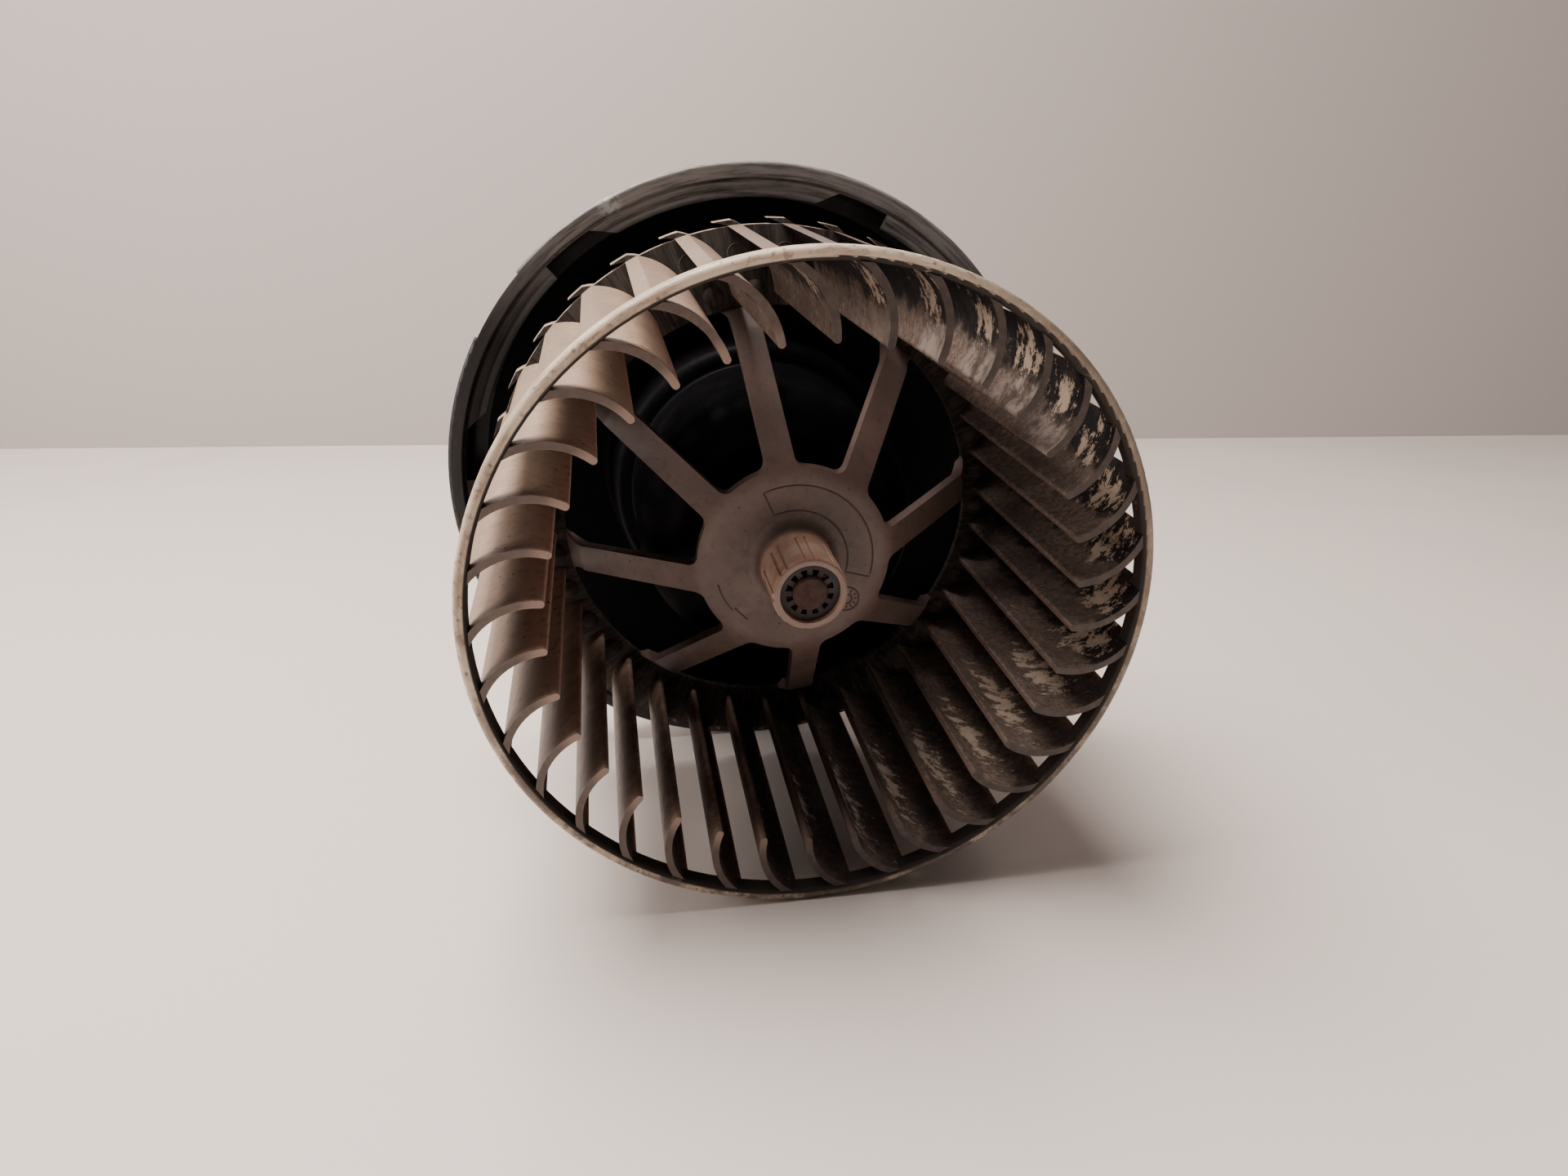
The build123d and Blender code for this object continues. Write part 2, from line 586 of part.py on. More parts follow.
def rear_cover():
    """Vented cap over the motor with a dome for the bearing pocket and three screw ears."""
    dome_inner = DOME_R - 2.0
    press_r = WELL_R - WALL - 2.0
    outline = [
        (0, DOME_END - 2), (dome_inner, DOME_END - 2), (dome_inner, WELL_REAR), (press_r - 2, WELL_REAR),
        (press_r - 2, 30.0), (press_r, 30.0), (press_r, WELL_REAR), (WELL_R, WELL_REAR),
        (WELL_R, COVER_REAR), (DOME_R, COVER_REAR), (DOME_R, DOME_END), (0, DOME_END),
    ]
    cover = lathe(outline, {8: 1.0, 9: 1.0, 10: 2.0})
    ear = Pos(SCREW_CIRCLE_R, 0, WELL_REAR) * extrude(Circle(5.0), COVER_THICKNESS)
    ear_neck = block(8.0, 10.0, WELL_REAR, COVER_REAR, SCREW_CIRCLE_R - 4, 0)
    hole = Pos(SCREW_CIRCLE_R, 0, WELL_REAR - 1) * extrude(Circle(2.0), COVER_THICKNESS + 2)
    cover = cover.fuse(*[Rot(0, 0, a) * shape for a in SCREW_ANGLES for shape in (ear, ear_neck)])
    vent_middle = (DOME_R + press_r) / 2 + 1
    vent = Pos(vent_middle, 0, WELL_REAR - 1) * extrude(SlotOverall(15, 3.0), COVER_THICKNESS + 2)
    cutters = [Rot(0, 0, a) * hole for a in SCREW_ANGLES]
    cutters += [Rot(0, 0, a) * vent for a in range(-40, 221, 20)]
    inner_width = SOCKET_WIDTH - 2 * SOCKET_WALL
    inner_height = SOCKET_HEIGHT - 2 * SOCKET_WALL
    cutters.append(block(inner_width, inner_height, WELL_REAR - 1, COVER_REAR + 1, 0, SOCKET_Y))
    return cover.cut(*cutters)


def connector_housing():
    """Rectangular plug socket on the cover, with a foot and a latch bar."""
    foot = block(SOCKET_WIDTH + 5, SOCKET_HEIGHT + 1.6, COVER_REAR, COVER_REAR + 2.0, 0, SOCKET_Y - 0.8)
    shell = block(SOCKET_WIDTH, SOCKET_HEIGHT, COVER_REAR, SOCKET_END, 0, SOCKET_Y)
    shell = fillet(shell.edges().filter_by(Axis.Z), 1.6)
    latch = block(8.0, 1.8, SOCKET_END - 9, SOCKET_END - 3, 0, SOCKET_Y - SOCKET_HEIGHT / 2 - 0.8)
    cavity = block(SOCKET_WIDTH - 2 * SOCKET_WALL, SOCKET_HEIGHT - 2 * SOCKET_WALL,
                   COVER_REAR - 1, SOCKET_END + 1, 0, SOCKET_Y)
    return shell.fuse(foot, latch) - cavity


def cover_screws():
    """Pan-head self-tapping screws with a cross recess."""
    head = Pos(0, 0, COVER_REAR) * extrude(Circle(3.8), 2.6)
    head = fillet(head.faces().sort_by(Axis.Z)[-1].edges(), 1.2)
    shank = Pos(0, 0, COVER_REAR - 12) * extrude(Circle(SCREW_PILOT_R), 12.5)
    slot = block(4.2, 0.9, COVER_REAR + 1.2, COVER_REAR + 3)
    screw = (head + shank) - slot - Rot(0, 0, 90) * slot
    return group([Rot(0, 0, a) * Pos(SCREW_CIRCLE_R, 0, 0) * screw for a in SCREW_ANGLES])


def turned(shape):
    """The same shape on the far side of the shaft."""
    return Rot(0, 0, 180) * shape


PIECES = {
    "wheel_front_ring": wheel_front_ring(),
    "wheel_blades": wheel_blades(),
    "wheel_rear_plate": wheel_rear_plate(),
    "wheel_spokes": wheel_spokes(),
    "wheel_hub": wheel_hub(),
    "hub_lock_ring": hub_lock_ring(),
    "motor_shaft": motor_shaft(),
    "armature_core": armature_core(),
    "armature_windings": armature_windings(),
    "commutator_core": commutator_core(),
    "commutator_bars": commutator_bars(),
    "thrust_washers": thrust_washers(),
    "motor_can": motor_can(),
    "end_bell": end_bell(),
    "front_bearing": bearing(FRONT_BUSH_START),
    "rear_bearing": bearing(REAR_BUSH_START),
    "oil_felts": oil_felts(),
    "bearing_clips": bearing_clips(),
    "field_magnets": field_magnets(),
    "magnet_clips": magnet_clips(),
    "brush_plate": brush_plate(),
    "brush_boxes": brush_boxes(),
    "upper_brush": turned(carbon_brush()),
    "lower_brush": carbon_brush(),
    "upper_brush_spring": turned(brush_spring()),
    "lower_brush_spring": brush_spring(),
    "suppression_chokes": suppression_chokes(),
    "terminal_blades": terminal_blades(),
    "front_isolators": isolators(CAN_R, BELL_R - WALL, -34.0, -20.0, 20.0),
    "rear_isolators": isolators(CAN_R, WELL_R - WALL, 16.0, 30.0, 18.0),
    "holder_rim": holder_rim(),
    "holder_floor": holder_floor(),
    "motor_bell": motor_bell(),
    "motor_well": motor_well(),
    "holder_ribs": holder_ribs(),
    "rear_cover": rear_cover(),
    "connector_housing": connector_housing(),
    "cover_screws": cover_screws(),
}

os.makedirs("parts", exist_ok=True)
for node, shape in PIECES.items():
    export_step(TO_ROW * shape, os.path.join("parts", node + ".step"))
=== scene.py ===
"""Heater blower: materials, moulded details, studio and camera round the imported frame.

Everything is in metres in the frame's axes: the shaft along +Y, the air inlet towards -Y.
"""

import math

import bmesh
import bpy
from mathutils import Matrix, Vector


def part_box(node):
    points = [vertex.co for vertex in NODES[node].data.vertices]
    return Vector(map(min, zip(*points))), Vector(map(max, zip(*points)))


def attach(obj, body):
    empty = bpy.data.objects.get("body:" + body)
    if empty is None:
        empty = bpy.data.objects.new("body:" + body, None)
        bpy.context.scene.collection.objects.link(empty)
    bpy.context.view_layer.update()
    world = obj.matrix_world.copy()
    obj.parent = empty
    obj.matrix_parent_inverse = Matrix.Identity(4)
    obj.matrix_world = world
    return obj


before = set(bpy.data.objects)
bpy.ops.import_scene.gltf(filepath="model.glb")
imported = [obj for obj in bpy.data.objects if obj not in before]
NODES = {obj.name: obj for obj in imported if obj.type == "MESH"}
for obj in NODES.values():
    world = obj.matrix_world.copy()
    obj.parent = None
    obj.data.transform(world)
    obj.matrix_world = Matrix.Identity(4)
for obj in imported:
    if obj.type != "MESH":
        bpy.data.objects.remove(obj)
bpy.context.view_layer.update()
MM = 0.001

# Places read from the frame
RING_LOW, RING_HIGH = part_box("wheel_front_ring")
WHEEL_FRONT = RING_LOW.y
WHEEL_R = RING_HIGH.x
RIM_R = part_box("holder_rim")[1].x
HUB_FACE = WHEEL_FRONT + 31.5 * MM
BOSS_LENGTH = 19.5 * MM
BOSS_R = 8.6 * MM
PLATE_EDGE_FACE = WHEEL_FRONT + 76.0 * MM       # the conical rear plate's front face at its rim
PLATE_EDGE_R = 73.0 * MM
PLATE_SLOPE = 8.5 / 18.4
BLADE_COUNT = 34
BLADE_PITCH = math.tau / BLADE_COUNT
FIRST_BLADE = math.radians(151.4)       # row angle of one blade's inner edge, from +X towards +Z

WASHED_ANGLE = math.radians(52)         # the blades' faces are washed cleaner round this angle

SHADER = "ShaderNode"


# ---------------------------------------------------------------- shader graph helper

class Graph:
    """A material's node tree with short calls for the nodes used here."""

    def __init__(self, name):
        self.material = bpy.data.materials.new(name)
        self.material.use_nodes = True
        self.tree = self.material.node_tree
        self.shader = self.tree.nodes["Principled BSDF"]
        place = self.tree.nodes.new(SHADER + "TexCoord")
        self.position = place.outputs["Object"]
        self.normal = place.outputs["Normal"]

    def node(self, kind, inputs, output=0, **settings):
        made = self.tree.nodes.new(SHADER + kind)
        for key, value in settings.items():
            setattr(made, key, value)
        for key, value in inputs.items():
            self.feed(made.inputs[key], value)
        return made.outputs[output]

    def feed(self, socket, value):
        if isinstance(value, bpy.types.NodeSocket):
            self.tree.links.new(value, socket)
        elif socket.type == "RGBA" and len(value) == 3:
            socket.default_value = (*value, 1.0)
        else:
            socket.default_value = value

    def calc(self, operation, a, b=0.0, c=0.0):
        return self.node("Math", {0: a, 1: b, 2: c}, operation=operation)

    def add(self, a, b):
        return self.calc("ADD", a, b)

    def times(self, a, b):
        return self.calc("MULTIPLY", a, b)

    def most(self, a, b):
        return self.calc("MAXIMUM", a, b)

    def flip(self, a):
        return self.calc("SUBTRACT", 1.0, a)

    def step(self, value, low, high, to_low=0.0, to_high=1.0):
        """Smooth change from to_low to to_high as value goes from low to high."""
        inputs = {"Value": value, "From Min": low, "From Max": high, "To Min": to_low, "To Max": to_high}
        return self.node("MapRange", inputs, interpolation_type="SMOOTHSTEP")

    def parts(self, vector):
        made = self.tree.nodes.new(SHADER + "SeparateXYZ")
        self.feed(made.inputs[0], vector)
        return made.outputs[0], made.outputs[1], made.outputs[2]

    def vector(self, x, y, z):
        return self.node("CombineXYZ", {0: x, 1: y, 2: z})

    def noise(self, scale, detail=4.0, rough=0.55, vector=None):
        """Noise of 0 to 1; scale is in cells per metre, unless vector holds other coordinates."""
        inputs = {"Vector": vector or self.position, "Scale": scale, "Detail": detail, "Roughness": rough}
        return self.node("TexNoise", inputs)

    def cells(self, scale, vector=None):
        return self.node("TexVoronoi", {"Vector": vector or self.position, "Scale": scale})

    def blend(self, factor, a, b):
        """Colour a where factor is 0, colour b where it is 1."""
        made = self.tree.nodes.new(SHADER + "Mix")
        made.data_type = "RGBA"
        for index, value in ((0, factor), (6, a), (7, b)):
            self.feed(made.inputs[index], value)
        return made.outputs[2]

    def bump(self, height, depth, strength=1.0, under=None):
        """Bump of height (0 to 1) times depth, in metres."""
        inputs = {"Height": height, "Distance": depth, "Strength": strength}
        if under is not None:
            inputs["Normal"] = under
        return self.node("Bump", inputs)

    def finish(self, **sockets):
        """Set or link the shader's own sockets and hand over the material."""
        for key, value in sockets.items():
            self.feed(self.shader.inputs[key.replace("_", " ")], value)
        return self.material


class Shaft(Graph):
    """A graph that also knows the distance from the shaft and the direction round it."""

    def __init__(self, name):
        super().__init__(name)
        self.x, self.y, self.z = self.parts(self.position)
        self.nx, self.ny, self.nz = self.parts(self.normal)
        square = self.add(self.times(self.x, self.x), self.times(self.z, self.z))
        self.radius = self.calc("SQRT", square)
        self.angle = self.calc("ARCTAN2", self.z, self.x)
        around = self.calc("SUBTRACT", self.times(self.nz, self.x), self.times(self.nx, self.z))
        self.leading = self.calc("DIVIDE", around, self.radius)
        outward = self.add(self.times(self.nx, self.x), self.times(self.nz, self.z))
        self.outward = self.calc("DIVIDE", outward, self.radius)

    def toward(self, row_angle):
        """1 on the side of the shaft at a row angle, -1 on the opposite side."""
        return self.calc("COSINE", self.add(self.angle, -row_angle))

    def streaks(self, count, along, rough=0.6):
        """Noise drawn out along the radius: count cells per radian, along cells per metre."""
        return self.noise(1.0, 4.0, rough, self.drawn(count, along, along))

    def drawn(self, count, outwards, rearwards):
        """Noise coordinates: count cells per radian round the shaft, the others in cells per metre."""
        return self.vector(self.times(self.angle, count), self.times(self.radius, outwards),
                           self.times(self.y, rearwards))


# ---------------------------------------------------------------- materials

class Wheel(Shaft):
    """Natural polypropylene, with the clouds and specks of stain that all of the wheel shows."""

    def __init__(self, name):
        super().__init__(name)
        self.cloud = self.noise(55, 5.0, 0.6)
        self.fine = self.noise(420, 4.0, 0.65)
        self.grain = self.noise(150, 6.0, 0.75)
        self.specks = self.step(self.cells(330), 0.10, 0.17, 1.0, 0.0)
        self.facing_inlet = self.step(self.times(self.ny, -1.0), 0.45, 0.8)

    def soiled(self, colour, dirt, amount, low=0.5, high=0.7):
        """Colour with dirt where the fine noise is high."""
        return self.blend(self.times(self.step(self.fine, low, high), amount), colour, dirt)

    def plastic(self, colour, grime=0.0, relief=0.0):
        """Satin plastic; grime (0 to 1) makes it matt and relief raises it by up to half a millimetre."""
        rough = self.step(grime, 0.0, 1.0, 0.46, 0.82)
        rough = self.add(rough, self.times(self.add(self.fine, -0.5), 0.22))
        normal = self.bump(relief, 0.0005)
        normal = self.bump(self.noise(900, 3.0, 0.5), 0.00006, 1.0, normal)
        sheen = self.step(grime, 0.0, 1.0, 0.5, 0.2)
        return self.finish(Base_Color=colour, Roughness=rough, Normal=normal, Specular_IOR_Level=sheen,
                           Subsurface_Weight=0.08, Subsurface_Radius=(0.004, 0.0025, 0.0018),
                           Subsurface_Scale=1.0, IOR=1.49)


def ring_plastic():
    """Front ring: brown mottling, most on the right; black streaks inside, where the dust is thrown."""
    g = Wheel("wheel_ring_plastic")
    mottle = g.step(g.noise(1.0, 7.0, 0.75, g.drawn(5.0, 260.0, 260.0)), 0.40, 0.64)
    colour = g.blend(mottle, (0.68, 0.565, 0.435), (0.35, 0.252, 0.180))
    colour = g.soiled(colour, (0.17, 0.110, 0.080), 0.6, 0.54, 0.68)
    colour = g.blend(g.times(g.specks, 0.6), colour, (0.09, 0.065, 0.05))
    right = g.times(g.step(g.toward(-0.2), -0.1, 0.6), g.step(g.grain, 0.32, 0.60, 0.35, 0.9))
    colour = g.blend(right, colour, (0.235, 0.182, 0.135))
    lower = g.times(g.step(g.z, 0.020, -0.045, 0.0, 0.85), g.step(g.grain, 0.38, 0.58))
    colour = g.blend(lower, colour, (0.10, 0.075, 0.062))
    inside = g.times(g.step(g.outward, -0.10, -0.5), g.step(g.streaks(9, 120), 0.18, 0.36))
    colour = g.blend(inside, colour, (0.036, 0.029, 0.026))
    return g.plastic(colour, inside)


def caked_faces(g):
    """Colour and cake thickness of the blades' hollow faces, where oily dust has caked and flaked off."""
    right = g.step(g.toward(0.0), -0.35, -0.05)
    upper = g.step(g.toward(WASHED_ANGLE), 0.86, 0.97)
    lower = g.step(g.calc("SINE", g.angle), -0.10, -0.60)
    wander = g.times(g.add(g.noise(190, 5.0, 0.7), -0.5), 0.012)
    ragged_r = g.add(g.radius, wander)

    speckle = g.step(g.noise(700, 7.0, 0.85), 0.38, 0.62)
    brown = g.blend(speckle, (0.085, 0.062, 0.053), (0.240, 0.172, 0.138))
    brown = g.blend(g.step(g.cloud, 0.40, 0.62, 0.0, 0.5), brown, (0.060, 0.043, 0.037))
    black = g.blend(g.step(g.grain, 0.45, 0.78), (0.012, 0.010, 0.011), (0.048, 0.036, 0.032))
    lower_r = g.add(ragged_r, g.times(lower, -0.0045))
    outer = g.times(g.step(lower_r, 0.0632, 0.0665), g.step(lower, 0.0, 1.0, 1.0, 0.6))
    cake = g.blend(outer, brown, black)

    blotch = g.step(g.noise(160, 7.0, 0.8), 0.42, 0.60)
    washed = g.blend(blotch, (0.30, 0.245, 0.213), (0.080, 0.055, 0.046))
    near_inlet = g.step(g.y, WHEEL_FRONT + 0.020, WHEEL_FRONT + 0.012)
    washed_zone = g.times(g.times(g.step(ragged_r, 0.0648, 0.0628), upper), near_inlet)
    colour = g.blend(washed_zone, cake, washed)

    # flakes gather round one place on each blade, further from the inlet on the lower blades
    flake_y = g.add(g.times(lower, 0.016), WHEEL_FRONT + 0.0085)
    flake_r = g.add(g.times(lower, -0.0035), 0.0685)
    along = g.calc("DIVIDE", g.calc("SUBTRACT", g.y, flake_y), g.add(g.times(lower, 0.012), 0.0085))
    across = g.calc("DIVIDE", g.calc("SUBTRACT", g.radius, flake_r), 0.0048)
    distance = g.calc("SQRT", g.add(g.times(along, along), g.times(across, across)))
    stretched = g.node("VectorMath", {0: g.position, 1: (0.85, 1.2, 0.85)}, operation="MULTIPLY")
    clumps = g.times(g.noise(300, 4.0, 0.6, stretched), 0.6)
    clumps = g.add(clumps, g.times(g.noise(1500, 5.0, 0.8, stretched), 0.4))
    ragged = g.add(clumps, g.step(distance, 0.15, 1.5, 0.060, -0.105))
    flaked = g.times(g.step(ragged, 0.528, 0.535), right)
    bare = g.blend(g.noise(600, 4.0), (0.54, 0.42, 0.32), (0.33, 0.245, 0.185))
    colour = g.blend(flaked, colour, bare)
    return colour, g.flip(g.most(flaked, washed_zone))


def blade_plastic():
    """Blades: backs clean on the left, caked faces and a film on the edges that meet the air; the edge film
    is partly painted shade, the left inner tips carry painted light and the lower backs painted shade.
    """
    g = Wheel("wheel_blade_plastic")
    backs = g.blend(g.step(g.cloud, 0.35, 0.7), (0.43, 0.300, 0.215), (0.33, 0.222, 0.160))
    left = g.step(g.toward(0.0), 0.1, -0.4)
    # painted highlight: the left backs' inner tips are painted lighter over their pinkish tint
    inner = g.times(g.step(g.radius, 0.0580, 0.0650, 0.9, 0.0), left)
    backs = g.blend(inner, backs, (0.70, 0.455, 0.345))
    backs = g.blend(g.step(g.radius, 0.0690, 0.0725, 0.0, 0.75), backs, (0.235, 0.165, 0.115))
    backs = g.blend(g.flip(left), backs, (0.105, 0.072, 0.060))
    backs = g.soiled(backs, (0.22, 0.15, 0.12), 0.55)
    speckled = g.times(g.specks, g.step(g.noise(90, 3.0), 0.45, 0.6))
    backs = g.blend(speckled, backs, (0.10, 0.065, 0.055))
    # painted shade: the backs darker towards the bottom
    shaded = g.times(g.step(g.z, 0.004, -0.040), g.step(g.grain, 0.30, 0.60, 0.55, 0.95))
    backs = g.blend(shaded, backs, (0.135, 0.092, 0.074))
    faces, cake = caked_faces(g)
    face = g.step(g.leading, 0.05, 0.35)
    colour = g.blend(face, backs, faces)
    edge = g.times(g.facing_inlet, g.step(g.y, WHEEL_FRONT + 0.003, WHEEL_FRONT + 0.002))
    # the edges facing the inlet are dark: a dust film with painted shade
    film = g.blend(g.step(g.fine, 0.35, 0.65), (0.068, 0.048, 0.039), (0.034, 0.024, 0.021))
    # painted light: the edge film lighter at the left inner tips
    painted_tip_light = g.times(left, g.step(g.radius, 0.0630, 0.0585, 0.15, 0.8))
    film = g.blend(painted_tip_light, film, (0.34, 0.235, 0.185))
    colour = g.blend(g.times(edge, 0.92), colour, film)
    cake = g.times(cake, face)
    return g.plastic(colour, cake, g.times(cake, g.noise(700, 6.0, 0.7)))


def plate_plastic():
    """Rear plate: dark dust thrown outwards in fine rays, clean on its rim and tails."""
    g = Wheel("wheel_plate_plastic")
    clean = g.blend(g.cloud, (0.52, 0.43, 0.34), (0.38, 0.29, 0.23))
    clean = g.soiled(clean, (0.14, 0.095, 0.075), 0.7, 0.42, 0.6)
    rays = g.step(g.streaks(60, 60, 0.7), 0.35, 0.70)
    dust = g.blend(rays, (0.016, 0.013, 0.012), (0.058, 0.045, 0.037))
    rim = g.times(g.step(g.radius, PLATE_EDGE_R - 0.0008, PLATE_EDGE_R - 0.0002), g.flip(g.facing_inlet))
    colour = g.blend(g.flip(rim), clean, dust)
    return g.plastic(colour, g.flip(rim))


def spider_plastic():
    """Hub and spokes: dull brown with darker patches round the boss and darker elbows; the boss's sides
    lighter and redder, a painted glow of light through the plastic.
    """
    g = Wheel("wheel_spider_plastic")
    colour = g.blend(g.step(g.cloud, 0.3, 0.7), (0.158, 0.108, 0.092), (0.108, 0.071, 0.061))
    colour = g.soiled(colour, (0.070, 0.044, 0.039), 0.4)
    colour = g.blend(g.times(g.specks, g.step(g.noise(60), 0.5, 0.6)), colour, (0.06, 0.04, 0.034))
    colour = g.blend(g.step(g.radius, 0.034, 0.052, 0.0, 0.4), colour, (0.075, 0.052, 0.045))
    # darker patches round the boss's base
    darker_round_boss = g.times(g.step(g.noise(75, 5.0, 0.7), 0.42, 0.62), g.step(g.radius, 0.021, 0.0105))
    colour = g.blend(g.times(darker_round_boss, 0.75), colour, (0.070, 0.045, 0.041))
    boss = g.times(g.step(g.radius, BOSS_R + 0.0012, BOSS_R + 0.0004),
                   g.step(g.y, HUB_FACE - 0.001, HUB_FACE - 0.004))
    # painted light: the boss's sides lighter and redder than the hub, a painted glow of the light through the
    # plastic; its end face, facing the inlet, stays darker brown
    boss_colour = g.blend(g.step(g.noise(160, 4.0), 0.4, 0.62), (0.66, 0.48, 0.37), (0.56, 0.32, 0.235))
    flutes = g.times(g.step(g.radius, BOSS_R - 0.0001, BOSS_R - 0.0003), g.step(g.outward, 0.2, 0.6))
    boss_colour = g.blend(g.times(flutes, 0.4), boss_colour, (0.36, 0.18, 0.13))
    boss_front = HUB_FACE - BOSS_LENGTH
    boss_end = g.times(g.facing_inlet, g.step(g.y, boss_front + 0.0015, boss_front + 0.0005))
    boss_colour = g.blend(g.times(boss_end, 0.85), boss_colour, (0.20, 0.14, 0.12))
    return g.plastic(g.blend(boss, colour, boss_colour))


def black_plastic(name, base, shine=1.0, scuff_and_highlight=0.0):
    """Black moulded plastic with dust; shine scales its sheen and its dust, and the scuff argument sets the
    grey wear on the rim's top, which is partly painted highlight, and its rub bump.
    """
    g = Shaft(name)
    cloud = g.noise(38, 5.0, 0.6)
    fine = g.noise(650, 4.0, 0.6)
    rub = g.noise(1.0, 5.0, 0.7, g.drawn(5.0, 900.0, 500.0))
    colour = g.blend(g.step(cloud, 0.35, 0.75), base, tuple(1.7 * part for part in base))
    # painted highlight: the rim's top is painted lighter grey where the overhead light falls, mixed with real
    # wear along the rub streaks
    top = g.step(g.toward(RIM_WEAR_AND_HIGHLIGHT_ANGLE), 0.45, 0.97, 0.04, 1.0)
    rim = g.times(g.step(g.radius, RIM_R - 0.0095, RIM_R - 0.0075), g.step(g.y, 0.004, 0.002))
    wear = g.times(g.times(rim, top), g.step(rub, 0.30, 0.62, 0.25, 1.0))
    colour = g.blend(g.times(wear, scuff_and_highlight), colour, (0.36, 0.335, 0.325))
    dust = g.times(g.step(g.noise(150, 6.0, 0.7), 0.50, 0.72), 0.18 * shine)
    colour = g.blend(dust, colour, (0.10, 0.088, 0.078))
    scuff_place = g.node("VectorMath", {0: g.position, 1: SCUFF}, 1, operation="DISTANCE")
    paint = g.times(g.step(scuff_place, 0.0042, 0.0015), g.step(g.noise(480, 5.0, 0.7), 0.44, 0.52))
    colour = g.blend(paint, colour, (0.45, 0.46, 0.45))
    rough = g.add(g.step(cloud, 0.3, 0.7, 0.36, 0.52), g.times(dust, 0.5))
    rough = g.add(rough, g.times(g.calc("SUBTRACT", fine, 0.5), 0.15))
    normal = g.bump(fine, 0.00006)
    normal = g.bump(rub, 0.00005, 0.6 * scuff_and_highlight, normal)
    return g.finish(Base_Color=colour, Roughness=rough, Normal=normal, IOR=1.5,
                    Specular_IOR_Level=0.5 * shine)


def metal(name, base, stain, rough=(0.25, 0.5), brushed=0.0, metallic=1.0):
    """Bare or plated metal with stains and fine tool marks round the shaft."""
    g = Shaft(name)
    cloud = g.noise(140, 6.0, 0.65)
    lines = g.noise(1.0, 3.0, 0.6, g.drawn(2.0, 6000.0, 6000.0))
    stained = g.step(cloud, 0.52, 0.70)
    colour = g.blend(stained, base, stain)
    surface = g.step(cloud, 0.3, 0.7, *rough)
    height = g.add(g.times(lines, brushed), g.times(g.noise(1200, 4.0), 1.0 - brushed))
    return g.finish(Base_Color=colour, Roughness=surface, Metallic=metallic, Normal=g.bump(height, 0.00004))


def rusty_steel():
    """Shaft: rusted end face and front, bright where it runs in the bushes."""
    g = Shaft("rusty_shaft")
    cloud = g.noise(600, 6.0, 0.7)
    rust = g.blend(g.step(cloud, 0.35, 0.65), (0.078, 0.034, 0.028), (0.036, 0.019, 0.017))
    rust = g.blend(g.step(g.cells(1500), 0.05, 0.25, 0.4, 0.0), rust, (0.13, 0.060, 0.042))
    clean_zone = g.step(g.y, WHEEL_FRONT + 0.030, WHEEL_FRONT + 0.040)
    colour = g.blend(clean_zone, rust, (0.55, 0.54, 0.52))
    rough = g.step(clean_zone, 0.0, 1.0, 0.78, 0.30)
    shine = g.step(clean_zone, 0.0, 1.0, 0.15, 1.0)
    return g.finish(Base_Color=colour, Roughness=rough, Metallic=shine, Normal=g.bump(cloud, 0.00015))


def copper_winding():
    """Enamelled wire: fine turns drawn over the end turns."""
    g = Shaft("enamelled_wire")
    strands = g.calc("SINE", g.add(g.times(g.radius, 7000.0), g.times(g.noise(90, 3.0), 14.0)))
    shade = g.step(strands, -1.0, 1.0)
    colour = g.blend(shade, (0.22, 0.065, 0.025), (0.62, 0.25, 0.11))
    colour = g.blend(g.step(g.noise(120), 0.55, 0.75), colour, (0.12, 0.05, 0.03))
    return g.finish(Base_Color=colour, Roughness=0.32, Metallic=0.85, Normal=g.bump(shade, 0.0002))


def lamination_stack():
    """Punched steel sheets seen edge-on as fine lines."""
    g = Shaft("laminations")
    lines = g.step(g.calc("SINE", g.times(g.y, math.tau / 0.0005)), -0.3, 0.3)
    film = g.step(g.noise(150, 5.0), 0.45, 0.7)
    colour = g.blend(film, (0.42, 0.41, 0.40), (0.20, 0.13, 0.09))
    return g.finish(Base_Color=colour, Roughness=g.step(lines, 0.0, 1.0, 0.35, 0.5), Metallic=0.9,
                    Normal=g.bump(lines, 0.00005))


def matt(name, dark, light, scale=300.0, rough=(0.7, 0.9), depth=0.0001):
    """Matt non-metal: rubber, felt, fibre, carbon, phenolic board or ferrite, by colour and grain."""
    g = Shaft(name)
    grain = g.noise(scale, 6.0, 0.7)
    colour = g.blend(g.step(grain, 0.3, 0.7), dark, light)
    surface = g.step(grain, 0.3, 0.7, *rough)
    return g.finish(Base_Color=colour, Roughness=surface, Normal=g.bump(grain, depth))


RIM_WEAR_AND_HIGHLIGHT_ANGLE = math.radians(88.0)    # the rim's grey wear and painted highlight are strongest round this row angle, at its top

# pale paint scuff on the rim's front, up and to the left of the shaft
SCUFF_ANGLE = math.radians(116.0)
SCUFF_R = RIM_R - 1.8 * MM
SCUFF = (SCUFF_R * math.cos(SCUFF_ANGLE), -0.0015, SCUFF_R * math.sin(SCUFF_ANGLE))

zinc = metal("zinc_plate", (0.62, 0.60, 0.54), (0.33, 0.28, 0.20))
spring_steel = metal("spring_steel", (0.45, 0.45, 0.46), (0.22, 0.17, 0.13), brushed=0.5)
bronze = metal("sintered_bronze", (0.50, 0.33, 0.16), (0.25, 0.14, 0.07), rough=(0.45, 0.7))
brass = metal("brass_sheet", (0.75, 0.56, 0.25), (0.42, 0.26, 0.11))
phenolic = matt("phenolic_board", (0.13, 0.055, 0.025), (0.24, 0.12, 0.06), 220.0, (0.4, 0.6))
rubber = matt("isolator_rubber", (0.014, 0.014, 0.014), (0.035, 0.034, 0.033), 500.0)

